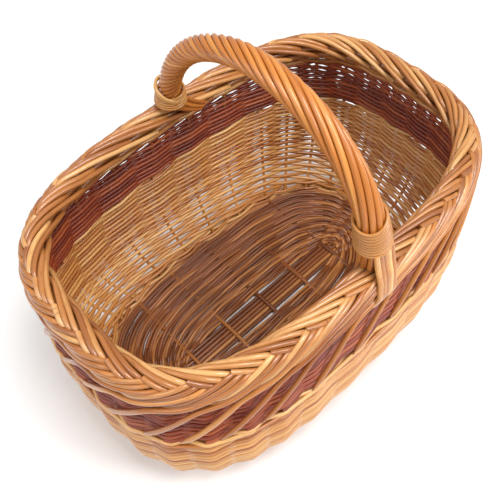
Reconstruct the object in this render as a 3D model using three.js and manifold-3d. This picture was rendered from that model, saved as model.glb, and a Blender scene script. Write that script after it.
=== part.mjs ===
// Oval willow market basket with a fixed bow handle.
// Millimetres, +Z up. The origin is the middle of the footprint, on the surface the basket stands on.
// +X runs along the basket, and the bow handle crosses it in the plane X = 0.

import * as THREE from 'three';
import { mergeVertices } from 'three/addons/utils/BufferGeometryUtils.js';
import Module from 'manifold-3d';

// Border: the plaited ring round the mouth
const borderLength = 450;
const borderWidth = 299;
const borderAcross = 24;
const borderDepth = 26;
const borderTop = 252;
const borderEdgeDraw = 1;
const borderEdgeDepth = 5;

// Side wall: four woven courses round upright stakes. The three offsets place the wall's mid-line
// outside (positive) or inside (negative) the border's mid-line.
const wallThickness = 11;
const footOffset = -13.5;
const bellyOffset = 19.5;
const neckOffset = 8;
const footHeight = 12;
const bellyHeight = 105;
const redBandDepth = 60;
const upperWaleDepth = 17;
const cornerSquareness = 3.1;
const bellyRoundness = 3;
const lowerWeaveSteps = 4;
const lowerStepGrowth = 1.6;
const outlinePoints = 64;

// Stakes: a few wide apart along each long side, the rest close together round each end
const farSideStakes = 6;
const nearSideStakes = 4;
const endStakes = 11;
const sideStakeSpacing = 55;
const stakeDiameter = 5;
const stakeFoot = 2;
const stakeSides = 4;

// Base: six long sticks through five pierced cross sticks, set in the woven bottom
const baseUnderside = 0.8;
const baseThickness = 9;
const longSticks = 6;
const longStickDiameter = 4.6;
const longStickGap = 0.4;
const longStickLength = 360;
const longStickSides = 8;
const crossSticks = 5;
const crossStickSpacing = 57;
const crossStickLength = 212;
const crossStickWidth = 5.6;
const crossStickEndDepth = 5.2;
const crossStickShoulder = 1.7;
const crossStickTaper = 6;
const slathLength = 240;

// Bow handle: a core rod whose flattened ends run down inside the wall, wrapped by helical rods.
// The bow's far shoulder is a little lower than its near one.
const bowInset = 5;
const bowRise = 126;
const nearBowRoundness = 2.13;
const farBowRoundness = 1.85;
const bowSteps = 26;
const coreDiameter = 10.4;
const coreSides = 8;
const legWidth = 12;
const legThickness = 4.8;
const legBendSteps = 3;
const wrapRods = 8;
const wrapRodDiameterAtNearFoot = 5.8;
const wrapRodDiameterAtFarFoot = 4.3;
const wrapTurns = 3.2;
const wrapSteps = 32;
const wrapRodSides = 5;
const wrapGap = 1.5;
const wrapStart = 2.5;

// Bindings: the close turns of split willow round each foot of the bow
const nearBindingHeight = 34;
const farBindingHeight = 22;
const bindingThickness = 4;
const nearBindingLift = 20;
const farBindingLift = 3;
const bindingSteps = 4;
const bindingSides = 12;

// Between pieces that touch
const clearance = 0.3;

// Sizes worked out from the ones above
const sideDifference = (borderLength - borderWidth) / 2;
const borderHalfLength = (borderLength - borderAcross) / 2;
const borderBottom = borderTop - borderDepth;
const upperWaleBottom = borderBottom - upperWaleDepth;
const redBandBottom = upperWaleBottom - redBandDepth;
const baseMiddle = baseUnderside + baseThickness / 2;
const longStickSpacing = longStickDiameter + longStickGap;
const slathWidth = longSticks * longStickSpacing;
const nearSide = 0.75;
const farSide = 0.25;
const tableSteps = 720;

const wasm = await Module();
wasm.setup();

const finishes = {
  buffWillow: new THREE.MeshStandardMaterial({ color: 0xc98f4e, roughness: 0.45, metalness: 0 }),
  stainedWillow: new THREE.MeshStandardMaterial({ color: 0x6e2a1c, roughness: 0.5, metalness: 0 }),
  baseWillow: new THREE.MeshStandardMaterial({ color: 0x9a6434, roughness: 0.55, metalness: 0 }),
  splitWillow: new THREE.MeshStandardMaterial({ color: 0xd8ad6e, roughness: 0.4, metalness: 0 }),
};

// ---- outlines and curves ----

function mix(from, to, amount) {
  return from + (to - from) * amount;
}

function easeInOut(amount) {
  const held = THREE.MathUtils.clamp(amount, 0, 1);
  return held * held * (3 - 2 * held);
}

// A rounded-off rectangle between an ellipse (squareness 2) and a full rectangle
function squirclePoint(halfLength, halfWidth, squareness, angle) {
  const along = Math.abs(Math.cos(angle) / halfLength) ** squareness;
  const aside = Math.abs(Math.sin(angle) / halfWidth) ** squareness;
  const radius = (along + aside) ** (-1 / squareness);
  return new THREE.Vector2(radius * Math.cos(angle), radius * Math.sin(angle));
}

const planCurves = new Map();

// The plan outline with the given half length, measured by the fraction of its way round from +X
function planCurve(halfLength) {
  if (!planCurves.has(halfLength)) {
    const points = [];
    for (let i = 0; i < tableSteps; i++) {
      const angle = (2 * Math.PI * i) / tableSteps;
      const point = squirclePoint(halfLength, halfLength - sideDifference, cornerSquareness, angle);
      points.push(new THREE.Vector3(point.x, point.y, 0));
    }
    const curve = new THREE.CatmullRomCurve3(points, true, 'catmullrom', 0.5);
    curve.arcLengthDivisions = tableSteps;
    planCurves.set(halfLength, curve);
  }
  return planCurves.get(halfLength);
}

// A point beside the plan outline: across is positive outwards
function placeOnPlan(halfLength, fraction, across, z) {
  const curve = planCurve(halfLength);
  const wrapped = ((fraction % 1) + 1) % 1;
  const point = curve.getPointAt(wrapped);
  const tangent = curve.getTangentAt(wrapped);
  return new THREE.Vector3(point.x + tangent.y * across, point.y - tangent.x * across, z);
}

// Half length of the wall's mid-line: upright at the foot, swelling to the belly, drawn in to the neck
function wallHalfLength(z) {
  const foot = borderHalfLength + footOffset;
  const belly = borderHalfLength + bellyOffset;
  const neck = borderHalfLength + neckOffset;
  if (z <= footHeight) {
    return foot;
  }
  if (z <= bellyHeight) {
    const below = (bellyHeight - z) / (bellyHeight - footHeight);
    return belly - (belly - foot) * below ** bellyRoundness;
  }
  return mix(belly, neck, easeInOut((z - bellyHeight) / (upperWaleBottom - bellyHeight)));
}

function placeOnWall(fraction, across, z) {
  return placeOnPlan(wallHalfLength(z), fraction, across, z);
}

// The wall is drawn as a circular band as long as the belly's mid-line, then bent onto the plan
const bandLength = planCurve(wallHalfLength(bellyHeight)).getLength();
const bandRadius = bandLength / (2 * Math.PI);

function bandPoint(fraction, across) {
  const angle = 2 * Math.PI * fraction;
  const radius = bandRadius + across;
  return new THREE.Vector2(radius * Math.cos(angle), radius * Math.sin(angle));
}

function ringOutline(across) {
  const points = [];
  for (let i = 0; i < outlinePoints; i++) {
    points.push(bandPoint(i / outlinePoints, across));
  }
  return points;
}

// A regular polygon stretched to the given half width and half depth
function sectionOutline(halfWidth, halfDepth, sides) {
  const points = [];
  for (let i = 0; i < sides; i++) {
    const angle = (2 * Math.PI * (i + 0.5)) / sides;
    points.push(new THREE.Vector2(halfWidth * Math.cos(angle), halfDepth * Math.sin(angle)));
  }
  return points;
}

function sectionOnBand(fraction, halfWidth, halfDepth, sides) {
  const section = sectionOutline(halfWidth, halfDepth, sides);
  return section.map((point) => bandPoint(fraction + point.x / bandLength, point.y));
}

// ---- solids ----

// Extrudes an outline through a list of stations; place(x, y, station) says where its points go
function sweep(outline, holes, stations, place) {
  const shape = new THREE.Shape(outline);
  shape.holes = holes.map((hole) => new THREE.Path(hole));
  const steps = stations.length - 1;
  const geometry = new THREE.ExtrudeGeometry(shape, { depth: steps, steps, bevelEnabled: false });
  const position = geometry.getAttribute('position');
  for (let i = 0; i < position.count; i++) {
    const station = stations[Math.round(position.getZ(i))];
    const placed = place(position.getX(i), position.getY(i), station);
    position.setXYZ(i, placed.x, placed.y, placed.z);
  }
  geometry.computeVertexNormals();
  return geometry;
}

function placeFromBand(x, y, z) {
  return placeOnWall(Math.atan2(y, x) / (2 * Math.PI), Math.hypot(x, y) - bandRadius, z);
}

function toSolid(geometry) {
  const plain = geometry.clone();
  plain.deleteAttribute('normal');
  plain.deleteAttribute('uv');
  const merged = mergeVertices(plain, 1e-4);
  const mesh = new wasm.Mesh({
    numProp: 3,
    vertProperties: new Float32Array(merged.getAttribute('position').array),
    triVerts: new Uint32Array(merged.getIndex().array),
  });
  return new wasm.Manifold(mesh);
}

function toGeometry(solid) {
  const mesh = solid.getMesh();
  const geometry = new THREE.BufferGeometry();
  geometry.setAttribute('position', new THREE.BufferAttribute(mesh.vertProperties, 3));
  geometry.setIndex(new THREE.BufferAttribute(mesh.triVerts, 1));
  geometry.computeVertexNormals();
  return geometry;
}

function cutAway(geometry, tools) {
  return toGeometry(tools.reduce((solid, tool) => solid.subtract(toSolid(tool)), toSolid(geometry)));
}

// ---- stakes and woven courses ----

// How far round each stake stands, as fractions of the way round from +X
function stakeFractions() {
  const spacing = sideStakeSpacing / bandLength;
  const sides = [
    { middle: farSide, halfRun: (spacing * (farSideStakes - 1)) / 2, count: farSideStakes },
    { middle: nearSide, halfRun: (spacing * (nearSideStakes - 1)) / 2, count: nearSideStakes },
  ];
  const sideRuns = sides.reduce((sum, side) => sum + side.halfRun, 0);
  const endSpacing = (0.5 - sideRuns) / (endStakes + 1);
  const fractions = [];
  for (const { middle, halfRun, count } of sides) {
    for (let i = 0; i < count; i++) {
      fractions.push(middle - halfRun + spacing * i);
    }
    for (let i = 1; i <= endStakes; i++) {
      fractions.push((middle + halfRun + endSpacing * i) % 1);
    }
  }
  return fractions.sort((a, b) => a - b);
}

function lowerWeaveLevels() {
  const levels = [];
  for (let i = 0; i <= lowerWeaveSteps; i++) {
    levels.push(mix(footHeight, redBandBottom, (i / lowerWeaveSteps) ** lowerStepGrowth));
  }
  return levels;
}

// Every height at which a wall piece may bend, so that stakes and courses bend together
const wallLevels = [0, ...lowerWeaveLevels(), upperWaleBottom, borderBottom];

// The wall levels between two heights, with the two heights themselves at the ends
function levelsBetween(bottom, top) {
  return [bottom, ...wallLevels.filter((z) => z > bottom + 1 && z < top - 1), top];
}

const stakes = stakeFractions();

function wovenCourse(bottom, top) {
  const stakeHole = stakeDiameter / 2 + clearance;
  const holes = stakes.map((fraction) => sectionOnBand(fraction, stakeHole, stakeHole, stakeSides));
  if (bottom > footHeight) {
    for (const fraction of [farSide, nearSide]) {
      const halfWidth = legWidth / 2 + clearance;
      const halfDepth = legThickness / 2 + clearance;
      holes.push(sectionOnBand(fraction, halfWidth, halfDepth, coreSides));
    }
  }
  holes.push(ringOutline(-wallThickness / 2));
  return sweep(ringOutline(wallThickness / 2), holes, levelsBetween(bottom, top), placeFromBand);
}

function stake(fraction) {
  const radius = stakeDiameter / 2;
  const outline = sectionOnBand(fraction, radius, radius, stakeSides);
  return sweep(outline, [], levelsBetween(stakeFoot, borderBottom - clearance), placeFromBand);
}

// ---- base ----

function longStick(offset, grow) {
  const radius = longStickDiameter / 2 + grow;
  const length = longStickLength + 2 * grow;
  const geometry = new THREE.CylinderGeometry(radius, radius, length, longStickSides);
  geometry.rotateZ(Math.PI / 2);
  geometry.translate(0, offset, baseMiddle);
  return geometry;
}

// Side outline of a pierced cross stick, thick round its slit and thinner towards both ends
function crossStickOutline(grow) {
  const end = crossStickLength / 2 + grow;
  const endDepth = crossStickEndDepth / 2 + grow;
  const shoulder = slathWidth / 2 + clearance + grow;
  const shoulderDepth = longStickDiameter / 2 + clearance + crossStickShoulder + grow;
  const upperHalf = [
    new THREE.Vector2(end, endDepth),
    new THREE.Vector2(shoulder + crossStickTaper, endDepth),
    new THREE.Vector2(shoulder, shoulderDepth),
    new THREE.Vector2(-shoulder, shoulderDepth),
    new THREE.Vector2(-shoulder - crossStickTaper, endDepth),
    new THREE.Vector2(-end, endDepth),
  ];
  const lowerHalf = upperHalf.map((point) => new THREE.Vector2(-point.x, -point.y));
  return [...upperHalf, ...lowerHalf];
}

function crossStick(offset, grow) {
  const halfWidth = crossStickWidth / 2 + grow;
  const slitEnd = slathWidth / 2;
  const slitDepth = longStickDiameter / 2 + clearance;
  const slit = [
    new THREE.Vector2(-slitEnd, -slitDepth),
    new THREE.Vector2(slitEnd, -slitDepth),
    new THREE.Vector2(slitEnd, slitDepth),
    new THREE.Vector2(-slitEnd, slitDepth),
  ];
  const sides = [offset - halfWidth, offset + halfWidth];
  const holes = grow > 0 ? [] : [slit];
  return sweep(crossStickOutline(grow), holes, sides, (y, z, x) => new THREE.Vector3(x, y, baseMiddle + z));
}

function spreadOffsets(count, spacing) {
  return Array.from({ length: count }, (_, i) => (i - (count - 1) / 2) * spacing);
}

// The woven bottom fills the foot wale and leaves the crossed sticks bare in the middle
function baseWeave() {
  const outline = [];
  for (let i = 0; i < outlinePoints; i++) {
    const edge = placeOnWall(i / outlinePoints, -wallThickness / 2 - clearance, 0);
    outline.push(new THREE.Vector2(edge.x, edge.y));
  }
  const heights = [baseUnderside, baseUnderside + baseThickness];
  const plate = sweep(outline, [], heights, (x, y, z) => new THREE.Vector3(x, y, z));
  const pocketWidth = slathWidth + 2 * clearance;
  const pocket = new THREE.BoxGeometry(slathLength, pocketWidth, 3 * baseThickness);
  pocket.translate(0, 0, baseMiddle);
  const runLength = longStickLength + 2 * clearance;
  const run = new THREE.BoxGeometry(runLength, pocketWidth, longStickDiameter + 2 * clearance);
  run.translate(0, 0, baseMiddle);
  const grooves = spreadOffsets(crossSticks, crossStickSpacing).map((x) => crossStick(x, clearance));
  return cutAway(plate, [pocket, run, ...grooves]);
}

// ---- border and bow handle ----

function placeFromBandToBorder(x, y, station) {
  const limit = borderAcross / 2 - station.draw;
  const across = THREE.MathUtils.clamp(Math.hypot(x, y) - bandRadius, -limit, limit);
  return placeOnPlan(borderHalfLength, Math.atan2(y, x) / (2 * Math.PI), across, station.z);
}

function plaitedBorder() {
  const bottom = borderBottom + clearance;
  const stations = [
    { z: bottom, draw: borderEdgeDraw },
    { z: bottom + borderEdgeDepth, draw: 0 },
    { z: borderTop - borderEdgeDepth, draw: 0 },
    { z: borderTop, draw: borderEdgeDraw },
  ];
  const half = borderAcross / 2;
  const ring = sweep(ringOutline(half), [ringOutline(-half)], stations, placeFromBandToBorder);
  return cutAway(ring, [bowCore(clearance)]);
}

const bowHalfSpan = borderHalfLength - sideDifference - bowInset;

// The bow's mid-line above the border, from the near side (-Y) over to the far side (+Y)
function bowCurve() {
  const points = [];
  for (let i = 0; i <= tableSteps / 6; i++) {
    const angle = Math.PI * (1 - i / (tableSteps / 6));
    const roundness = Math.cos(angle) < 0 ? nearBowRoundness : farBowRoundness;
    const point = squirclePoint(bowHalfSpan, bowRise, roundness, angle);
    points.push(new THREE.Vector3(0, point.x, borderTop + point.y));
  }
  const curve = new THREE.CatmullRomCurve3(points, false, 'catmullrom', 0.5);
  curve.arcLengthDivisions = tableSteps;
  return curve;
}

const bow = bowCurve();
const bowLength = bow.getLength();
const acrossBow = new THREE.Vector3(1, 0, 0);

// Middle, direction and inward side of the bow at a fraction of its length
function bowStation(fraction) {
  const middle = bow.getPointAt(fraction);
  const along = bow.getTangentAt(fraction);
  const inward = new THREE.Vector3().crossVectors(along, acrossBow);
  return { middle, along, inward };
}

function placeRound(radius) {
  return (x, y, { middle, inward }) =>
    middle.clone().addScaledVector(acrossBow, x * radius).addScaledVector(inward, y * radius);
}

// Stations of one leg from its foot in the wall up to the border's top; side is -1 near and 1 far
function legStations(side, grow) {
  const wallTop = borderBottom - clearance;
  const fractionMiddle = side < 0 ? nearSide : farSide;
  const halfWidth = legWidth / 2 + grow;
  const halfDepth = legThickness / 2 + grow;
  const stations = levelsBetween(footHeight + clearance + 1, wallTop).map((z) => (x, y) =>
    placeOnWall(fractionMiddle - side * (x * halfWidth) / bandLength, -y * halfDepth, z));
  const wallHalf = wallHalfLength(wallTop) - sideDifference;
  for (let i = 1; i <= legBendSteps; i++) {
    const amount = i / legBendSteps;
    const bent = easeInOut(amount);
    const middle = side * mix(wallHalf, bowHalfSpan, bent);
    const z = mix(wallTop, borderTop, amount);
    const width = mix(halfWidth, coreDiameter / 2 + grow, bent);
    const depth = mix(halfDepth, coreDiameter / 2 + grow, bent);
    stations.push((x, y) => new THREE.Vector3(x * width, middle - side * y * depth, z));
  }
  return stations;
}

function bowCore(grow) {
  const arch = [];
  for (let i = 1; i < bowSteps; i++) {
    const station = bowStation(i / bowSteps);
    arch.push((x, y) => placeRound(coreDiameter / 2 + grow)(x, y, station));
  }
  const stations = [...legStations(-1, grow), ...arch, ...legStations(1, grow).reverse()];
  return sweep(sectionOutline(1, 1, coreSides), [], stations, (x, y, place) => place(x, y));
}

function wrapRodRadius(fraction) {
  return mix(wrapRodDiameterAtNearFoot, wrapRodDiameterAtFarFoot, fraction) / 2;
}

// Mid-line of one wrapping rod: its twist tightens from the near foot to the far foot
function wrapRodPoint(startAngle, fraction) {
  const { middle, inward } = bowStation(fraction);
  const angle = startAngle + 2 * Math.PI * wrapTurns * fraction ** 2;
  const radius = coreDiameter / 2 + wrapGap + wrapRodRadius(fraction);
  const outward = new THREE.Vector3().addScaledVector(acrossBow, Math.cos(angle));
  outward.addScaledVector(inward, Math.sin(angle));
  return { point: middle.addScaledVector(outward, radius), outward };
}

function wrapRod(startAngle) {
  const first = wrapStart / bowLength;
  const small = 1e-3;
  const stations = [];
  for (let i = 0; i <= wrapSteps; i++) {
    const fraction = mix(first, 1 - first, i / wrapSteps);
    const { point, outward } = wrapRodPoint(startAngle, fraction);
    const before = wrapRodPoint(startAngle, Math.max(fraction - small, 0)).point;
    const after = wrapRodPoint(startAngle, Math.min(fraction + small, 1)).point;
    const along = after.sub(before).normalize();
    const aside = new THREE.Vector3().crossVectors(along, outward).normalize();
    stations.push({ point, outward, aside, radius: wrapRodRadius(fraction) });
  }
  return sweep(sectionOutline(1, 1, wrapRodSides), [], stations, (x, y, station) => {
    const placed = station.point.clone().addScaledVector(station.outward, x * station.radius);
    return placed.addScaledVector(station.aside, y * station.radius);
  });
}

function binding(fromNearFoot) {
  const rodOutside = coreDiameter / 2 + wrapGap + wrapRodDiameterAtNearFoot;
  const inside = (rodOutside + clearance) / Math.cos(Math.PI / bindingSides);
  const outside = inside + bindingThickness;
  const lift = fromNearFoot ? nearBindingLift : farBindingLift;
  const height = fromNearFoot ? nearBindingHeight : farBindingHeight;
  const low = lift / bowLength;
  const high = (lift + height) / bowLength;
  const [start, end] = fromNearFoot ? [low, high] : [1 - high, 1 - low];
  const fractions = Array.from({ length: bindingSteps + 1 }, (_, i) => mix(start, end, i / bindingSteps));
  const holes = [sectionOutline(inside, inside, bindingSides)];
  const stations = fractions.map(bowStation);
  return sweep(sectionOutline(outside, outside, bindingSides), holes, stations, placeRound(1));
}

// ---- the basket ----

const basket = new THREE.Group();

function add(name, geometry, finish) {
  const mesh = new THREE.Mesh(geometry, finish);
  mesh.name = name;
  basket.add(mesh);
}

spreadOffsets(longSticks, longStickSpacing).forEach((y, i) => {
  add(`base_long_stick_${i + 1}`, longStick(y, 0), finishes.baseWillow);
});
spreadOffsets(crossSticks, crossStickSpacing).forEach((x, i) => {
  add(`base_cross_stick_${i + 1}`, crossStick(x, 0), finishes.baseWillow);
});
add('base_weave', baseWeave(), finishes.baseWillow);

stakes.forEach((fraction, i) => {
  add(`stake_${String(i + 1).padStart(2, '0')}`, stake(fraction), finishes.buffWillow);
});
add('foot_wale', wovenCourse(0, footHeight), finishes.buffWillow);
add('lower_weave', wovenCourse(footHeight + clearance, redBandBottom), finishes.buffWillow);
add('red_band', wovenCourse(redBandBottom + clearance, upperWaleBottom), finishes.stainedWillow);
add('upper_wale', wovenCourse(upperWaleBottom + clearance, borderBottom), finishes.buffWillow);
add('plaited_border', plaitedBorder(), finishes.buffWillow);

add('bow_core', bowCore(0), finishes.buffWillow);
for (let i = 0; i < wrapRods; i++) {
  add(`bow_wrap_rod_${i + 1}`, wrapRod((2 * Math.PI * i) / wrapRods), finishes.buffWillow);
}
add('bow_binding_near', binding(true), finishes.splitWillow);
add('bow_binding_far', binding(false), finishes.splitWillow);

export default basket;
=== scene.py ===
import math
import random

import bmesh
import bpy
import numpy as np
from mathutils import Matrix, Vector


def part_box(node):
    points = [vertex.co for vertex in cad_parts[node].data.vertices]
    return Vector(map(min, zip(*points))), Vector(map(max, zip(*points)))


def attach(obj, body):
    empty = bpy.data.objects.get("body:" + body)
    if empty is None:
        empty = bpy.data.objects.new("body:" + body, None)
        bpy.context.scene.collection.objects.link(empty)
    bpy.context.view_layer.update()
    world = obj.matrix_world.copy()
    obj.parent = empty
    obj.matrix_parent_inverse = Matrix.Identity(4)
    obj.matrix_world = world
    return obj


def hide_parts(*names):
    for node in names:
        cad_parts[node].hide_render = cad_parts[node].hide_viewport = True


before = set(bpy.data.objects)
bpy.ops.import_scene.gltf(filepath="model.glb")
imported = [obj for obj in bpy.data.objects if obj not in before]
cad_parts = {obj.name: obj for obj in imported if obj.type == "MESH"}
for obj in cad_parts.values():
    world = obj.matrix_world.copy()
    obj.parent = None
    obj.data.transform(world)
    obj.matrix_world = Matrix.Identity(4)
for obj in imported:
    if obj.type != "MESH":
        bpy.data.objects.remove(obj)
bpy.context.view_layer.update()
dice = random.Random(11)
print("frame loaded")

# Every length below is in millimetres, and makePiece turns them into metres.
mm = 0.001

# The basket's wall: how long the sides are, how it swells, and how thick the weave is.
wall = {
    "thickness": 11,
    "squareness": 3.1,
    "bellyHeight": 105,
    "bellyPower": 3,
    "borderAcross": 24,
}
stakeLayout = {"farSide": 6, "nearSide": 4, "perEnd": 11, "sideSpacing": 55}

stakeLook = {"radius": 2.1, "bottom": 2, "top": 238, "points": 24}
footLook = {"radius": 2.0, "rows": 3, "reach": 4.2, "bottom": 2.2, "rowHeight": 5.2, "rise": 1.7, "shift": 5}
lowerLook = {"radius": 2.3, "pitch": 7.3, "reach": 2.3, "jitter": 0.35}
topRowLook = {"radius": 2.0, "reach": 4.3, "rise": 2.6, "drop": 6.4, "firstStake": 20}
redLook = {"radius": 2.1, "pitch": 7.0, "reach": 2.9, "jitter": 0.3}
upperLook = {"radius": 2.2, "pitch": 7.2, "reach": 3.4, "jitter": 0.3, "top": 238}
# A weaver bends close beside each stake: how far from it, as a share of the gap, and how far out there.
kinkLook = {"beside": 0.085, "share": 0.9, "unevenness": (0.92, 1.06), "thickness": (0.9, 1.08)}
waleKink = {"beside": 0.12, "share": 0.88, "unevenness": 0.2, "thickness": (0.92, 1.05)}
plaitLook = {"radius": 2.5, "stepsPerStake": 9, "smoothing": 2, "unevenness": 0.35}
# The long rod of each stake: its tip stands off the wall, and it climbs aslant to the border.
slantLook = {
    "radius": 2.5,
    "tipHeight": 152,
    "tipAcross": 4.8,
    "tipThinness": 0.3,
    "lowerKeys": ((172, 8), (195, 9.4)),
    "kneeHeight": 213,
    "kneeAcross": 9.0,
    "kneeStep": 1.67,
    "lowerPoints": 15,
    "upperPoints": 22,
    "smoothing": 3,
    "gaps": (35, 50),
    "sideRun": 46,
    "endRun": 50,
}
bowLook = {
    "coreRadius": 5.2,
    "filling": 1.4,
    "inset": 5,
    "rise": 126,
    "nearRoundness": 2.13,
    "farRoundness": 1.85,
    "rods": 10,
    "nearRadius": 2.85,
    "farRadius": 2.25,
    "turns": 3.2,
}
bindingLook = {
    "near": {"radius": 1.55, "turns": 9, "lift": 22, "height": 32, "low": 15.3, "high": 13.7, "lean": (2, 7)},
    "far": {"radius": 1.5, "turns": 5, "lift": 4, "height": 19, "low": 15.6, "high": 13.4, "lean": (1, 4)},
    "cross": {
        "radius": 1.5, "turns": 2, "lift": 17, "height": 7, "low": 14.8, "high": 14.2, "lean": (-5, -6),
        "start": 1.0,
    },
}
baseLook = {
    "longRadius": 2.45,
    "longSpacing": 5.0,
    "longSticks": 6,
    "slathLength": 240,
    "crossRadius": 2.6,
    "crossSticks": 5,
    "crossSpacing": 57,
    "rows": 22,
    "rodRadius": 1.95,
    "wave": 2.4,
    "middle": 5.2,
    "outlineSteps": 720,
    "rowPoints": 241,
    "longHeight": 4.4,
    "longFan": 4.2,
    "longEnd": 4,
    "longStagger": 6,
    "crossHeight": 5.2,
    "crossLift": 2.2,
    "crossLiftHalf": 22,
    "crossEnd": 3,
}


# ---- sizes read from the frame ----
def sizesOf(node):
    low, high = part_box(node)
    return [value / mm for value in low], [value / mm for value in high]


def halfLengthOf(node):
    low, high = sizesOf(node)
    return (high[0] - low[0]) / 2


footTop = sizesOf("foot_wale")[1][2]
redBottom = sizesOf("red_band")[0][2]
redTop = sizesOf("red_band")[1][2]
borderLow, borderHigh = sizesOf("plaited_border")
borderTop = borderHigh[2]
borderMiddle = (borderLow[2] + borderHigh[2]) / 2
sideDifference = (borderHigh[0] - borderLow[0]) / 2 - (borderHigh[1] - borderLow[1]) / 2
footHalf = halfLengthOf("foot_wale") - wall["thickness"] / 2
bellyHalf = halfLengthOf("lower_weave") - wall["thickness"] / 2
borderHalf = halfLengthOf("plaited_border") - wall["borderAcross"] / 2
neckHalf = borderHalf + 8


# ---- the wall's shape ----
def halfLengthAt(height):
    if height <= footTop:
        return footHalf
    if height <= wall["bellyHeight"]:
        below = (wall["bellyHeight"] - height) / (wall["bellyHeight"] - footTop)
        return bellyHalf - (bellyHalf - footHalf) * below ** wall["bellyPower"]
    if height <= redTop:
        amount = (height - wall["bellyHeight"]) / (redTop - wall["bellyHeight"])
        eased = amount * amount * (3 - 2 * amount)
        return bellyHalf + (neckHalf - bellyHalf) * eased
    amount = min((height - redTop) / (borderMiddle - redTop), 1)
    return neckHalf + (borderHalf - neckHalf) * amount


def outline(halfLength, halfWidth, count):
    # Points, outward normals and the share of the way round, from +X counter-clockwise.
    angle = np.linspace(0, 2 * np.pi, 2881)
    power = wall["squareness"]
    reach = np.abs(np.cos(angle) / halfLength) ** power + np.abs(np.sin(angle) / halfWidth) ** power
    reach = reach ** (-1 / power)
    x = reach * np.cos(angle)
    y = reach * np.sin(angle)
    walked = np.concatenate([[0], np.cumsum(np.hypot(np.diff(x), np.diff(y)))])
    share = np.linspace(0, 1, count + 1)
    x = np.interp(share * walked[-1], walked, x)
    y = np.interp(share * walked[-1], walked, y)
    dx = np.gradient(x)
    dy = np.gradient(y)
    dx[0] = dx[-1] = 0
    dy[0] = dy[-1] = 1
    size = np.hypot(dx, dy)
    return np.stack([x, y, dy / size, -dx / size], -1), walked[-1]


levelStep = 4
levelCount = 66
shareCount = 1440
levels = np.stack([
    outline(halfLengthAt(i * levelStep), halfLengthAt(i * levelStep) - sideDifference, shareCount)[0]
    for i in range(levelCount)
])
bellyRound = outline(bellyHalf, bellyHalf - sideDifference, shareCount)[1]


def wallPoints(share, across, height):
    # Places on the wall: the share of the way round, millimetres outwards, and the height.
    share, across, height = np.broadcast_arrays(*[np.asarray(v, float) for v in (share, across, height)])
    row = np.clip(height / levelStep, 0, levelCount - 1.001)
    low = row.astype(int)
    up = (row - low)[..., None]
    column = (share % 1) * shareCount
    left = np.minimum(column.astype(int), shareCount - 1)
    right = (column - left)[..., None]
    lower = levels[low, left] * (1 - right) + levels[low, left + 1] * right
    upper = levels[low + 1, left] * (1 - right) + levels[low + 1, left + 1] * right
    place = lower * (1 - up) + upper * up
    x = place[..., 0] + place[..., 2] * across
    y = place[..., 1] + place[..., 3] * across
    return np.stack([x, y, height], -1)


def stakeShares():
    # The stakes stand wide apart along the sides and close together round the ends.
    spacing = stakeLayout["sideSpacing"] / bellyRound
    perEnd = stakeLayout["perEnd"]
    sides = [(0.25, stakeLayout["farSide"]), (0.75, stakeLayout["nearSide"])]
    gap = (0.5 - sum((count - 1) * spacing / 2 for _, count in sides)) / (perEnd + 1)
    shares = []
    for middle, count in sides:
        half = (count - 1) / 2 * spacing
        shares += [middle - half + i * spacing for i in range(count)]
        shares += [middle + half + gap * (i + 1) for i in range(perEnd)]
    return sorted(share % 1 for share in shares)


stakes = stakeShares()
stakeCount = len(stakes)
stakeSteps = np.arange(-stakeCount, 3 * stakeCount)
stakeAll = np.concatenate([np.array(stakes) + turn for turn in (-1, 0, 1, 2)])


def shareAt(step):
    # The share of the way round at a place counted in stakes.
    step = np.asarray(step, float)
    turns = np.floor(step / stakeCount)
    return np.interp(step - turns * stakeCount, stakeSteps, stakeAll) + turns


print("wall shape ready")


# ---- making rods ----
def rodRecord(points, radius, tone=None):
    return {
        "points": np.asarray(points, float),
        "radius": np.broadcast_to(np.asarray(radius, float), (len(points),)).copy(),
        "tone": dice.random() if tone is None else tone,
    }


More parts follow.
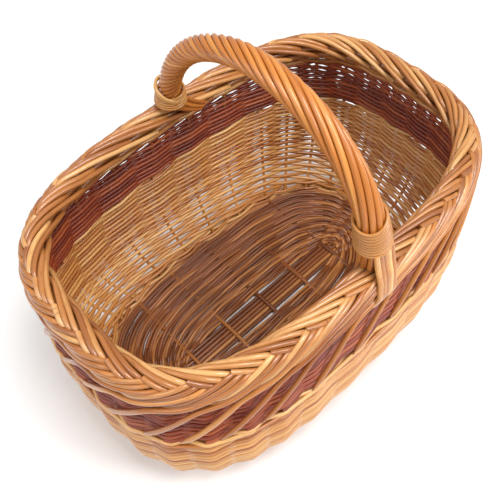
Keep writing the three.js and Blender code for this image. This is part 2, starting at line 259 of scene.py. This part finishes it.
def makeRods(name, rods, sides=8):
    # One mesh of round rods. Each keeps its way along in V, its way round in U, and its own tone.
    curve = bpy.data.curves.new(name, "CURVE")
    curve.dimensions = "3D"
    curve.bevel_depth = mm
    curve.bevel_resolution = (sides - 4) // 2
    curve.use_fill_caps = True
    for _ in rods:
        curve.materials.append(None)
    for index, rod in enumerate(rods):
        points = rod["points"] * mm
        spline = curve.splines.new("POLY")
        spline.points.add(len(points) - 1)
        spline.points.foreach_set("co", np.hstack([points, np.ones((len(points), 1))]).ravel())
        spline.points.foreach_set("radius", rod["radius"])
        spline.use_smooth = True
        spline.material_index = index
    maker = bpy.data.objects.new(name, curve)
    bpy.context.scene.collection.objects.link(maker)
    bpy.context.view_layer.update()
    mesh = bpy.data.meshes.new_from_object(maker)
    bpy.data.objects.remove(maker)
    bpy.data.curves.remove(curve)
    mesh.name = name

    faceCount = len(mesh.polygons)
    rodOfFace = np.zeros(faceCount, int)
    mesh.polygons.foreach_get("material_index", rodOfFace)
    loopTotals = np.zeros(faceCount, int)
    mesh.polygons.foreach_get("loop_total", loopTotals)
    rodOfCorner = np.repeat(rodOfFace, loopTotals)
    coords = np.zeros(len(mesh.loops) * 2)
    mesh.uv_layers[0].data.foreach_get("uv", coords)
    coords = coords.reshape(-1, 2)
    counts = np.array([len(rod["points"]) for rod in rods])
    starts = np.concatenate([[0], np.cumsum(counts)[:-1]])
    walked = np.concatenate([
        np.concatenate([[0], np.cumsum(np.linalg.norm(np.diff(rod["points"], axis=0), axis=1))])
        for rod in rods
    ])
    station = np.rint(coords[:, 1] * (counts[rodOfCorner] - 1)).astype(int)
    coords[:, 1] = walked[starts[rodOfCorner] + station] * mm
    mesh.uv_layers[0].data.foreach_set("uv", coords.ravel())
    tone = mesh.attributes.new("rodTone", "FLOAT", "FACE")
    tone.data.foreach_set("value", np.array([rod["tone"] for rod in rods])[rodOfFace])
    seed = mesh.attributes.new("rodSeed", "FLOAT", "FACE")
    seed.data.foreach_set("value", np.array([dice.random() for _ in rods])[rodOfFace])
    smooth = np.array(loopTotals == 4)
    mesh.polygons.foreach_set("use_smooth", smooth)
    mesh.polygons.foreach_set("material_index", np.zeros(faceCount, int))
    mesh.materials.clear()
    return mesh


def makePiece(name, rods, nodes, material, sides=8):
    mesh = makeRods(name, rods, sides)
    mesh.materials.append(material)
    piece = bpy.data.objects.new(name, mesh)
    bpy.context.scene.collection.objects.link(piece)
    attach(piece, "root")
    if nodes:
        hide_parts(*nodes)
    print("made", name, "faces", len(mesh.polygons))
    return piece


def softened(values, passes):
    values = np.array(values, float)
    for _ in range(passes):
        inner = (values[:-2] + 2 * values[1:-1] + values[2:]) / 4
        values[1:-1] = inner
    return values


def taper(count, butt, tip):
    return np.linspace(butt, tip, count)


# ---- materials ----
class Wire:
    # A shader output that can be added, multiplied and so on.
    def __init__(self, tree, socket):
        self.tree = tree
        self.socket = socket

    def maths(self, operation, other, swapped=False):
        node = self.tree.nodes.new("ShaderNodeMath")
        node.operation = operation
        first, second = (other, self) if swapped else (self, other)
        for slotIndex, value in ((0, first), (1, second)):
            if isinstance(value, Wire):
                self.tree.links.new(value.socket, node.inputs[slotIndex])
            elif value is not None:
                node.inputs[slotIndex].default_value = value
        return Wire(self.tree, node.outputs[0])

    def __add__(self, other):
        return self.maths("ADD", other)

    def __radd__(self, other):
        return self.maths("ADD", other, True)

    def __sub__(self, other):
        return self.maths("SUBTRACT", other)

    def __rsub__(self, other):
        return self.maths("SUBTRACT", other, True)

    def __mul__(self, other):
        return self.maths("MULTIPLY", other)

    def __rmul__(self, other):
        return self.maths("MULTIPLY", other, True)

    def call(self, operation, other=None):
        return self.maths(operation, other)


class Shader:
    def __init__(self, name):
        self.material = bpy.data.materials.new(name)
        self.material.use_nodes = True
        self.tree = self.material.node_tree
        self.surface = self.tree.nodes["Principled BSDF"]

    def node(self, kind, settings=None, sockets=None, output=0):
        # Any node: its type, its settings by name, its sockets by name, and which output to use.
        made = self.tree.nodes.new(kind)
        for key, value in (settings or {}).items():
            setattr(made, key, value)
        for key, value in (sockets or {}).items():
            if isinstance(value, Wire):
                self.tree.links.new(value.socket, made.inputs[key])
            else:
                made.inputs[key].default_value = value
        return Wire(self.tree, made.outputs[output])

    def mixColour(self, amount, first, second):
        first, second = (value if isinstance(value, Wire) else (*value, 1) for value in (first, second))
        settings = {"data_type": "RGBA", "clamp_factor": True}
        return self.node("ShaderNodeMix", settings, {0: amount, 6: first, 7: second}, 2)

    def set(self, name, value):
        if isinstance(value, Wire):
            self.tree.links.new(value.socket, self.surface.inputs[name])
        elif isinstance(value, tuple):
            self.surface.inputs[name].default_value = (*value, 1)
        else:
            self.surface.inputs[name].default_value = value


def linear(red, green, blue):
    # From the usual screen values to linear light.
    return tuple(
        v / 12.92 if v <= 0.04045 else ((v + 0.055) / 1.055) ** 2.4 for v in (red, green, blue)
    )


willowLook = {
    "buff": {
        "pale": linear(0.91, 0.72, 0.45),
        "main": linear(0.80, 0.54, 0.27),
        "deep": linear(0.64, 0.36, 0.15),
        "spot": linear(0.38, 0.20, 0.10),
        "rough": 0.3,
        "coat": 0.5,
        "streaks": 0.35,
    },
    "border": {
        "pale": linear(0.85, 0.65, 0.41),
        "main": linear(0.70, 0.45, 0.23),
        "deep": linear(0.55, 0.31, 0.14),
        "spot": linear(0.38, 0.20, 0.10),
        "rough": 0.3,
        "coat": 0.45,
        "streaks": 0.35,
    },
    "aged": {
        "pale": linear(0.88, 0.66, 0.39),
        "main": linear(0.75, 0.48, 0.23),
        "deep": linear(0.58, 0.32, 0.14),
        "spot": linear(0.30, 0.15, 0.08),
        "rough": 0.32,
        "coat": 0.35,
        "streaks": 0.4,
    },
    "stained": {
        "pale": linear(0.68, 0.34, 0.17),
        "main": linear(0.55, 0.21, 0.09),
        "deep": linear(0.38, 0.12, 0.05),
        "spot": linear(0.16, 0.05, 0.04),
        "rough": 0.4,
        "coat": 0.15,
        "streaks": 0.45,
    },
    "handle": {
        "pale": linear(0.86, 0.60, 0.31),
        "main": linear(0.76, 0.47, 0.20),
        "deep": linear(0.61, 0.33, 0.12),
        "spot": linear(0.36, 0.18, 0.09),
        "rough": 0.32,
        "coat": 0.3,
        "streaks": 0.3,
    },
    # The base's willow is the walls' willow made darker: painted shade for the shade on the basket's floor,
    # with a slightly more orange tone of its own.
    "base": {
        "pale": linear(0.78, 0.53, 0.29),
        "main": linear(0.59, 0.34, 0.17),
        "deep": linear(0.40, 0.21, 0.10),
        "spot": linear(0.28, 0.14, 0.07),
        "rough": 0.4,
        "coat": 0.2,
        "streaks": 0.4,
    },
    "split": {
        "pale": linear(0.88, 0.68, 0.41),
        "main": linear(0.78, 0.54, 0.28),
        "deep": linear(0.62, 0.38, 0.17),
        "spot": linear(0.45, 0.27, 0.14),
        "rough": 0.32,
        "coat": 0.4,
        "streaks": 0.3,
    },
}


def willow(name, look):
    shader = Shader(name)
    uv = shader.node("ShaderNodeUVMap", {"uv_map": "UVMap"})
    around = shader.node("ShaderNodeSeparateXYZ", sockets={"Vector": uv}) * (2 * math.pi)
    along = shader.node("ShaderNodeSeparateXYZ", sockets={"Vector": uv}, output=1)
    tone = shader.node("ShaderNodeAttribute", {"attribute_name": "rodTone"}, output=2)
    seed = shader.node("ShaderNodeAttribute", {"attribute_name": "rodSeed"}, output=2)
    sideways = around.call("COSINE")
    upwards = around.call("SINE")

    def coordinate(alongScale, aroundScale, shift):
        return shader.node("ShaderNodeCombineXYZ", sockets={
            "X": along * alongScale + seed * 97.0 + shift,
            "Y": sideways * aroundScale,
            "Z": upwards * aroundScale,
        })

    # Slow change of colour along each rod, fine grain along it, and a few bud marks.
    drift = shader.node("ShaderNodeTexNoise", {}, {
        "Vector": coordinate(22, 0.35, 3.1), "Scale": 1.0, "Detail": 2.0,
    })
    grain = shader.node("ShaderNodeTexNoise", {}, {
        "Vector": coordinate(45, 3.2, 7.7), "Scale": 1.0, "Detail": 3.0, "Roughness": 0.6,
    })
    budNoise = shader.node("ShaderNodeTexVoronoi", {}, {"Vector": coordinate(36, 1.1, 0.0), "Scale": 1.0})
    bud = shader.node("ShaderNodeMapRange", {}, {
        "Value": budNoise, "From Min": 0.06, "From Max": 0.2, "To Min": 1.0, "To Max": 0.0,
    })
    age = (tone - 0.5) * 1.15 + (drift - 0.5) * 1.3
    colour = shader.mixColour(age.call("MAXIMUM", 0.0) * 1.35, look["main"], look["deep"])
    colour = shader.mixColour((age * -1.0).call("MAXIMUM", 0.0) * 1.5, colour, look["pale"])
    streak = shader.node("ShaderNodeMapRange", {}, {
        "Value": grain, "From Min": 0.52, "From Max": 0.75, "To Min": 0.0, "To Max": look["streaks"],
    })
    colour = shader.mixColour(streak, colour, look["deep"])
    colour = shader.mixColour(bud * 0.55, colour, look["spot"])
    shader.set("Base Color", colour)
    shader.set("Roughness", look["rough"] + (grain - 0.5) * 0.25)
    shader.set("Coat Weight", look["coat"])
    shader.set("Coat Roughness", 0.22)
    shader.set("IOR", 1.48)
    bump = shader.node("ShaderNodeBump", {}, {
        "Strength": 0.25, "Distance": 0.0004, "Height": grain - bud * 0.6,
    })
    shader.set("Normal", bump)
    return shader.material


finishes = {key: willow("willow_" + key, look) for key, look in willowLook.items()}
print("materials ready")


# ---- woven parts ----
def wovenRod(first, count, startHeight, rise, look):
    # One rod in front of and behind the stakes in turn, straight between them and kinked at each.
    steps = []
    acrosses = []
    heights = []
    for k in range(count):
        side = 1 if k % 2 == 0 else -1
        lift = dice.uniform(-look["jitter"], look["jitter"])
        push = dice.uniform(*kinkLook["unevenness"])
        beside = kinkLook["beside"]
        for offset, share in ((-beside, kinkLook["share"]), (0, 1.0), (beside, kinkLook["share"])):
            steps.append(first + k + offset)
            acrosses.append(side * look["reach"] * share * push)
            heights.append(startHeight + rise * (k + offset) + lift)
    points = wallPoints(shareAt(steps), acrosses, heights)
    thickness = dice.uniform(*kinkLook["thickness"])
    return rodRecord(points, look["radius"] * thickness * taper(len(points), 1.06, 0.88))


def frenchWeave(bottom, top, look):
    # One weaver starts beside every stake, so the rows climb together all the way round.
    rise = look["pitch"] / 2
    count = int((top - bottom) / rise)
    rods = []
    for k in range(stakeCount):
        rods.append(wovenRod(k, count, bottom + look["radius"], rise, look))
    return rods


def waleRow(bottom, look, rise, firstStake):
    # Three rods, each over two stakes and under one.
    rods = []
    for k in range(3):
        steps = []
        acrosses = []
        heights = []
        for stake in range(stakeCount + 1):
            inside = (stake - k) % 3 == 2
            side = -1 if inside else 1
            beside = waleKink["beside"]
            for offset, share in ((-beside, waleKink["share"]), (0, 1.0), (beside, waleKink["share"])):
                unevenness = dice.uniform(-waleKink["unevenness"], waleKink["unevenness"])
                steps.append(firstStake + stake + offset)
                acrosses.append(side * look["reach"] * share)
                heights.append(bottom + k * rise + unevenness)
        points = wallPoints(shareAt(steps), acrosses, heights)
        rods.append(rodRecord(points, look["radius"] * dice.uniform(*waleKink["thickness"])))
    return rods


stakeNames = ["stake_" + str(i + 1).zfill(2) for i in range(stakeCount)]
stakeRods = []
for share in stakes:
    heights = np.linspace(stakeLook["bottom"], stakeLook["top"], stakeLook["points"])
    points = wallPoints(share, 0, heights)
    stakeRods.append(rodRecord(points, stakeLook["radius"] * taper(stakeLook["points"], 1.05, 0.95)))
makePiece("stakes", stakeRods, stakeNames, finishes["buff"])

footRods = []
for row in range(footLook["rows"]):
    bottom = footLook["bottom"] + row * footLook["rowHeight"]
    footRods += waleRow(bottom, footLook, footLook["rise"], row * footLook["shift"])
makePiece("footWale", footRods, ["foot_wale"], finishes["buff"])

lowerRods = frenchWeave(footTop + 1, redBottom - 3, lowerLook)
makePiece("lowerWeave", lowerRods, ["lower_weave"], finishes["buff"])
topRods = waleRow(redBottom - topRowLook["drop"], topRowLook, topRowLook["rise"], topRowLook["firstStake"])
makePiece("topRow", topRods, [], finishes["buff"])

redRods = frenchWeave(redBottom - 2, redTop + 2, redLook)
makePiece("redBand", redRods, ["red_band"], finishes["stained"])

upperRods = frenchWeave(redTop - 1, upperLook["top"], upperLook)
makePiece("upperWeave", upperRods, ["upper_wale"], finishes["buff"])
print("wall woven")

# ---- plaited border ----
# Each line of a key is: how far on from the rod's own stake, how far out from the border's middle
# line, and how far above it.
plaitKeys = {
    "first": [
        (-1.0, -6.5, -10), (-0.6, -10.8, -3.5), (0.0, -10.4, 3.0), (0.5, -7.6, 7.6), (1.0, -2.8, 10.2),
        (1.45, 2.4, 10.4), (1.62, 4.0, 8.6), (1.76, 4.2, 3.0), (1.87, 5.4, -7.0), (2.0, 9.6, -13.5),
        (2.2, 12.2, -12.0), (2.5, 13.6, -7.5), (3.0, 11.9, 2.6), (3.5, 7.6, 8.6), (3.68, 4.8, 9.4),
        (3.86, 2.0, 5.0), (4.05, -2.0, 1.5),
    ],
    "second": [
        (-0.35, -5.5, 0.5), (-0.1, -7.6, 5.0), (0.1, -7.2, 7.6), (0.5, -3.3, 10.2), (1.0, 2.2, 10.4),
        (1.35, 6.2, 8.6), (1.5, 7.2, 6.0), (1.64, 5.6, 0.0), (1.76, 6.2, -10.0), (1.9, 9.6, -18.0),
        (2.1, 12.4, -17.2), (2.5, 13.8, -13.0), (3.0, 13.4, -2.6), (3.5, 11.2, 4.4), (3.75, 8.6, 7.0),
        (3.9, 5.6, 6.6), (4.05, 2.5, 3.0), (4.15, 0.0, 0.5),
    ],
    "third": [
        (0.66, 3.4, 9.8), (0.8, 4.8, 9.0), (1.0, 6.9, 7.6), (1.15, 8.3, 6.0), (1.3, 8.2, 3.0),
        (1.45, 6.0, -1.0),
    ],
}

# The upper end of each stake's long rod: how far on, how far out from the wall's middle, and its height.
slantKeys = [(2.0, 9.6, -21), (2.5, 12.0, -15.5), (3.0, 13.5, -6.5), (3.5, 13.2, -0.5), (3.8, 12.0, 2.5),
             (4.0, 9.5, 5.0), (4.15, 6.0, 3.5)]


def plaitRod(stake, keys):
    perStake = plaitLook["stepsPerStake"]
    keyArray = np.array(keys)
    count = max(int((keyArray[-1, 0] - keyArray[0, 0]) * perStake), 6)
    steps = np.linspace(keyArray[0, 0], keyArray[-1, 0], count + 1)
    acrosses = softened(np.interp(steps, keyArray[:, 0], keyArray[:, 1]), plaitLook["smoothing"])
    heights = softened(np.interp(steps, keyArray[:, 0], keyArray[:, 2]), plaitLook["smoothing"])
    acrosses = acrosses + dice.uniform(-plaitLook["unevenness"], plaitLook["unevenness"])
    heights = heights + dice.uniform(-plaitLook["unevenness"], plaitLook["unevenness"])
    steps = steps + dice.uniform(-0.03, 0.03)
    place = wallPoints(shareAt(stake + steps), acrosses, borderMiddle)
    place[:, 2] = borderMiddle + heights
    radius = plaitLook["radius"] * dice.uniform(0.93, 1.06)
    return rodRecord(place, radius * taper(len(place), 1.04, 0.92))


borderRods = []
for stake in range(stakeCount):
    for keys in plaitKeys.values():
        borderRods.append(plaitRod(stake, keys))
# Hidden hoops that fill the plait: how far out, how far above its middle, and how thick.
hoops = ((-3, -2, 3.4), (3, -5, 3.4), (0, 3, 3.0), (6, -12, 3.2), (8.5, -18, 2.6), (-4, -10, 3.2))
for across, height, radius in hoops:
    share = np.linspace(0, 1, 161)
    place = wallPoints(share, across, borderMiddle)
    place[:, 2] = borderMiddle + height
    borderRods.append(rodRecord(place, radius, 0.9))
makePiece("plaitedBorder", borderRods, ["plaited_border"], finishes["border"], 10)


def slantRod(stake):
    look = slantLook
    kneeStep = look["kneeStep"]
    knee = shareAt(stake + kneeStep)
    gap = (shareAt(stake + kneeStep + 0.5) - shareAt(stake + kneeStep - 0.5)) * bellyRound
    run = np.interp(gap, look["gaps"], (look["endRun"], look["sideRun"])) + dice.uniform(-3, 3)
    amount = np.linspace(0, 1, look["lowerPoints"] + 1)[:-1]
    lowShares = knee - run / bellyRound * (1 - amount)
    tip = look["tipHeight"] + dice.uniform(-2, 2)
    lowHeights = tip + (look["kneeHeight"] - tip) * amount
    kneeKey = (look["kneeHeight"], look["kneeAcross"])
    lowKeys = np.array([(tip, look["tipAcross"]), *look["lowerKeys"], kneeKey])
    lowAcrosses = np.interp(lowHeights, lowKeys[:, 0], lowKeys[:, 1])
    highKeys = np.array([(kneeStep, look["kneeAcross"], look["kneeHeight"] - borderMiddle), *slantKeys])
    steps = np.linspace(kneeStep, highKeys[-1, 0], look["upperPoints"])
    highAcrosses = np.interp(steps, highKeys[:, 0], highKeys[:, 1])
    highHeights = borderMiddle + np.interp(steps, highKeys[:, 0], highKeys[:, 2])
    shares = softened(np.concatenate([lowShares, shareAt(stake + steps)]), look["smoothing"])
    heights = softened(np.concatenate([lowHeights, highHeights]), look["smoothing"])
    acrosses = softened(np.concatenate([lowAcrosses, highAcrosses]), look["smoothing"])
    acrosses = acrosses + dice.uniform(-0.3, 0.3)
    points = wallPoints(shares, acrosses, np.minimum(heights, borderMiddle))
    points[:, 2] = heights
    thin = look["tipThinness"]
    start = np.clip(thin + np.arange(len(points)) * thin, thin, 1)
    return rodRecord(points, look["radius"] * dice.uniform(0.92, 1.05) * start, dice.uniform(0.35, 1.0))


slantRods = [slantRod(stake) for stake in range(stakeCount)]
makePiece("slantRods", slantRods, [], finishes["aged"], 10)
print("border plaited")

# ---- base ----
spread = (baseLook["longSticks"] - 1) / 2
slathHalf = baseLook["slathLength"] / 2
slathWide = (spread + 1) * baseLook["longSpacing"]
floorHalf = footHalf - 2
outlineSteps = baseLook["outlineSteps"]
floorOutline = outline(floorHalf, floorHalf - sideDifference, outlineSteps)[0]
slathOutline = outline(slathHalf + 5, slathWide - 1.2, outlineSteps)[0]


def floorPoints(share, growth):
    # From the slath's outline, a long rounded strip, out to the foot of the wall.
    column = np.asarray(share, float) % 1 * outlineSteps
    left = np.minimum(column.astype(int), outlineSteps - 1)
    part = (column - left)[..., None]
    outer = (floorOutline[left] * (1 - part) + floorOutline[left + 1] * part)[..., :2]
    inner = (slathOutline[left] * (1 - part) + slathOutline[left + 1] * part)[..., :2]
    growth = np.asarray(growth, float)[..., None]
    return inner * (1 - growth) + outer * growth


longRods = []
for i in range(baseLook["longSticks"]):
    offset = (i - spread) * baseLook["longSpacing"]
    reachEnd = floorHalf - baseLook["longEnd"] - abs(i - spread) * baseLook["longStagger"]
    x = np.linspace(-1, 1, 41) * reachEnd
    beyond = np.clip((np.abs(x) - slathHalf) / (reachEnd - slathHalf), 0, 1)
    y = offset * (1 + beyond * baseLook["longFan"])
    z = np.full_like(x, baseLook["longHeight"])
    longRods.append(rodRecord(np.stack([x, y, z], -1), baseLook["longRadius"] * dice.uniform(0.94, 1.04)))
longNames = ["base_long_stick_" + str(i + 1) for i in range(baseLook["longSticks"])]
makePiece("longSticks", longRods, longNames, finishes["base"])

crossRods = []
for i in range(baseLook["crossSticks"]):
    x = (i - (baseLook["crossSticks"] - 1) / 2) * baseLook["crossSpacing"]
    y = np.linspace(-1, 1, 31) * (floorHalf - sideDifference - baseLook["crossEnd"])
    lift = np.exp(-((y / baseLook["crossLiftHalf"]) ** 4)) * baseLook["crossLift"]
    points = np.stack([np.full_like(y, x), y, baseLook["crossHeight"] + lift], -1)
    crossRods.append(rodRecord(points, baseLook["crossRadius"] * dice.uniform(0.95, 1.04)))
crossNames = ["base_cross_stick_" + str(i + 1) for i in range(baseLook["crossSticks"])]
makePiece("crossSticks", crossRods, crossNames, finishes["base"])


def ribShares():
    # Where the ribs of the floor cross a middle row.
    fine = np.linspace(0, 1, 2001)
    place = floorPoints(fine, np.full(2001, 0.5))
    shares = []
    for i in range(baseLook["crossSticks"]):
        x = (i - (baseLook["crossSticks"] - 1) / 2) * baseLook["crossSpacing"]
        for sign in (1, -1):
            distance = np.abs(place[:, 0] - x) + np.where(place[:, 1] * sign < 0, 1000, 0)
            shares.append(fine[np.argmin(distance)])
    for i in range(baseLook["longSticks"]):
        y = (i - spread) * baseLook["longSpacing"] * 2.6
        for sign in (1, -1):
            distance = np.abs(place[:, 1] - y) + np.where(place[:, 0] * sign < 0, 1000, 0)
            shares.append(fine[np.argmin(distance)])
    return sorted(share % 1 for share in shares)


ribs = ribShares()
ribAll = np.concatenate([np.array(ribs) - 1, ribs, np.array(ribs) + 1])
floorRods = []
for row in range(baseLook["rows"]):
    growth = (row + 0.35) / (baseLook["rows"] - 0.3)
    for pair in (0, 1):
        share = np.linspace(0, 1, baseLook["rowPoints"])
        step = np.interp(share, ribAll, np.arange(len(ribAll)))
        wave = 1 - 2 * np.abs((step + pair + row) % 2 - 1)
        z = baseLook["middle"] + wave * baseLook["wave"]
        spiral = growth + share / baseLook["rows"] * 0.5 + pair * 0.012
        unevenness = softened([dice.uniform(-1, 1) for _ in share], 40) * 0.03
        place = floorPoints(share, np.clip(spiral + unevenness, 0, 1.02))
        radius = baseLook["rodRadius"] * dice.uniform(0.9, 1.08)
        floorRods.append(rodRecord(np.column_stack([place, z]), radius))
makePiece("baseWeave", floorRods, ["base_weave"], finishes["base"])
print("base woven")

# ---- bow handle ----
bowHalfSpan = borderHalf - sideDifference - bowLook["inset"]


def bowCentre(count):
    # The bow's mid-line from the near side over to the far side, evenly spaced, with its directions.
    angle = np.linspace(np.pi, 0, 2001)
    power = np.where(np.cos(angle) < 0, bowLook["nearRoundness"], bowLook["farRoundness"])
    reach = np.abs(np.cos(angle) / bowHalfSpan) ** power + np.abs(np.sin(angle) / bowLook["rise"]) ** power
    reach = reach ** (-1 / power)
    y = reach * np.cos(angle)
    z = borderTop + reach * np.sin(angle)
    walked = np.concatenate([[0], np.cumsum(np.hypot(np.diff(y), np.diff(z)))])
    place = np.linspace(0, walked[-1], count)
    y = np.interp(place, walked, y)
    z = np.interp(place, walked, z)
    along = np.stack([np.zeros(count), np.gradient(y), np.gradient(z)], -1)
    along /= np.linalg.norm(along, axis=1)[:, None]
    inward = np.stack([np.zeros(count), along[:, 2], -along[:, 1]], -1)
    return np.stack([np.zeros(count), y, z], -1), inward, walked[-1]


bowCount = 91
bowMiddle, bowInward, bowLength = bowCentre(bowCount)
sidewaysAxis = np.array([1.0, 0, 0])
bowShare = np.linspace(0, 1, bowCount)

coreRod = rodRecord(bowMiddle, bowLook["coreRadius"] + bowLook["filling"] / 2, 0.9)
makePiece("bowCore", [coreRod], ["bow_core"], finishes["handle"])

wrapRods = []
for i in range(bowLook["rods"]):
    radius = bowLook["nearRadius"] + (bowLook["farRadius"] - bowLook["nearRadius"]) * bowShare
    angle = 2 * np.pi * (i / bowLook["rods"] + bowLook["turns"] * bowShare ** 2)
    distance = bowLook["coreRadius"] + bowLook["filling"] + radius
    outward = np.cos(angle)[:, None] * sidewaysAxis + np.sin(angle)[:, None] * bowInward
    wrapRods.append(rodRecord(bowMiddle + outward * distance[:, None], radius * dice.uniform(0.97, 1.04)))
wrapNames = ["bow_wrap_rod_" + str(i + 1) for i in range(8)]
makePiece("bowWrap", wrapRods, wrapNames, finishes["handle"], 12)


def bindingRod(look, near):
    # A close coil of split willow round one foot of the bow, leaning as it climbs.
    perTurn = 28
    count = look["turns"] * perTurn + 1
    amount = np.linspace(0, 1, count)
    angle = 2 * np.pi * look["turns"] * amount + look.get("start", 0)
    lean = look["lean"][0] + (look["lean"][1] - look["lean"][0]) * amount
    climb = look["lift"] + (look["height"] - 2 * look["radius"]) * amount + look["radius"]
    climb = (climb + lean * np.cos(angle - np.pi / 4)) / bowLength
    column = (climb if near else 1 - climb) * (bowCount - 1)
    middle = np.stack([np.interp(column, np.arange(bowCount), bowMiddle[:, k]) for k in range(3)], -1)
    inward = np.stack([np.interp(column, np.arange(bowCount), bowInward[:, k]) for k in range(3)], -1)
    around = look["low"] + (look["high"] - look["low"]) * amount
    outward = np.cos(angle)[:, None] * sidewaysAxis + np.sin(angle)[:, None] * inward
    return rodRecord(middle + outward * around[:, None], look["radius"])


nearCoil = [bindingRod(bindingLook["near"], True)]
makePiece("bindingNear", nearCoil, ["bow_binding_near"], finishes["split"])
farCoils = [bindingRod(bindingLook["far"], False), bindingRod(bindingLook["cross"], False)]
makePiece("bindingFar", farCoils, ["bow_binding_far"], finishes["split"])

# The ends of the wrapping rods, laid down over the border and tucked in: height and how far out.
tailLook = {
    "radius": 2.7,
    "rods": 5,
    "spacing": 5.2,
    "drop": [(278, 4.5), (262, 9), (250, 14), (240, 16.5), (230, 16.5), (222, 13), (214, 8)],
}


def tailRodsNear():
    rods = []
    keys = np.array(tailLook["drop"])[::-1]
    heights = np.linspace(keys[-1, 0], keys[0, 0], 26)
    acrosses = softened(np.interp(heights, keys[:, 0], keys[:, 1]), 2)
    fall = (keys[-1, 0] - heights) / (keys[-1, 0] - keys[0, 0])
    for i in range(tailLook["rods"]):
        offset = (i - (tailLook["rods"] - 1) / 2) * tailLook["spacing"]
        sideways = offset * (1 - 0.12 * fall) - 5 * fall ** 2
        points = wallPoints(0.75 + sideways / bellyRound, acrosses, np.minimum(heights, borderMiddle))
        points[:, 2] = heights
        rods.append(rodRecord(points, tailLook["radius"] * dice.uniform(0.94, 1.05)))
    return rods


farTailLook = {
    "radius": 2.2,
    "start": -6,
    "startSpacing": 3.6,
    "end": 30,
    "endSpacing": 1.6,
    "top": 264,
    "drop": 30,
    "across": -12.5,
    "bulge": 2.6,
}


def tailRodsFar():
    # On the far side they lean along the border's inner edge and end there.
    look = farTailLook
    rods = []
    for i in range(tailLook["rods"]):
        amount = np.linspace(0, 1, 22)
        start = look["start"] + i * look["startSpacing"]
        x = start + (look["end"] + i * look["endSpacing"] - start) * amount ** 1.5
        height = look["top"] - look["drop"] * amount ** 1.15 - (tailLook["rods"] - 1 - i) * 1.1
        across = look["across"] - look["bulge"] * np.sin(np.pi * amount) + 1.2 * (i % 2)
        y = borderHalf - sideDifference + across
        points = np.column_stack([x, y, height])
        rods.append(rodRecord(points, look["radius"] * dice.uniform(0.94, 1.05)))
    return rods


makePiece("tailsNear", tailRodsNear(), [], finishes["buff"], 10)
makePiece("tailsFar", tailRodsFar(), [], finishes["handle"], 10)
print("handle wrapped")

# ---- floor, lights and camera ----
floorMesh = bpy.data.meshes.new("floor")
floorMaker = bmesh.new()
bmesh.ops.create_grid(floorMaker, x_segments=1, y_segments=1, size=6)
floorMaker.to_mesh(floorMesh)
floorMaker.free()
floor = bpy.data.objects.new("floor", floorMesh)
bpy.context.scene.collection.objects.link(floor)
floorShader = Shader("paleFloor")
floorShader.set("Base Color", (0.93, 0.93, 0.93))
floorShader.set("Roughness", 0.9)
floorShader.set("Specular IOR Level", 0.1)
floorMesh.materials.append(floorShader.material)

world = bpy.data.worlds.new("studio")
bpy.context.scene.world = world
world.use_nodes = True
world.node_tree.nodes["Background"].inputs[0].default_value = (1.0, 1.0, 1.0, 1)
world.node_tree.nodes["Background"].inputs[1].default_value = 0.55

lamps = {
    "key": {"place": (0.6, -1.2, 1.4), "size": 0.6, "power": 14},
    "side": {"place": (-1.2, 0.3, 1.4), "size": 0.9, "power": 9},
    "top": {"place": (0.05, -0.45, 1.7), "size": 0.5, "power": 17},
}
for name, lamp in lamps.items():
    data = bpy.data.lights.new(name, "AREA")
    data.shape = "SQUARE"
    data.size = lamp["size"]
    data.energy = lamp["power"]
    light = bpy.data.objects.new(name, data)
    light.location = lamp["place"]
    aim = Vector((0, 0, 0.15)) - light.location
    light.rotation_euler = aim.to_track_quat("-Z", "Y").to_euler()
    bpy.context.scene.collection.objects.link(light)

view = {"place": (-0.26015, -0.28088, 0.70033), "turn": -43.26, "tilt": 33.54, "roll": -1.18}
cameraData = bpy.data.cameras.new("camera")
cameraData.sensor_width = 36
cameraData.lens = 45.3
cameraData.shift_x = -0.0336
cameraData.shift_y = 0.0012
camera = bpy.data.objects.new("camera", cameraData)
turn = Matrix.Rotation(math.radians(view["turn"]), 3, "Z")
tilt = Matrix.Rotation(math.radians(view["tilt"]), 3, "X")
roll = Matrix.Rotation(math.radians(view["roll"]), 3, "Z")
camera.rotation_euler = (turn @ tilt @ roll).to_euler()
camera.location = view["place"]
bpy.context.scene.collection.objects.link(camera)
bpy.context.scene.camera = camera
bpy.context.scene.view_settings.view_transform = "Standard"
print("stage set")
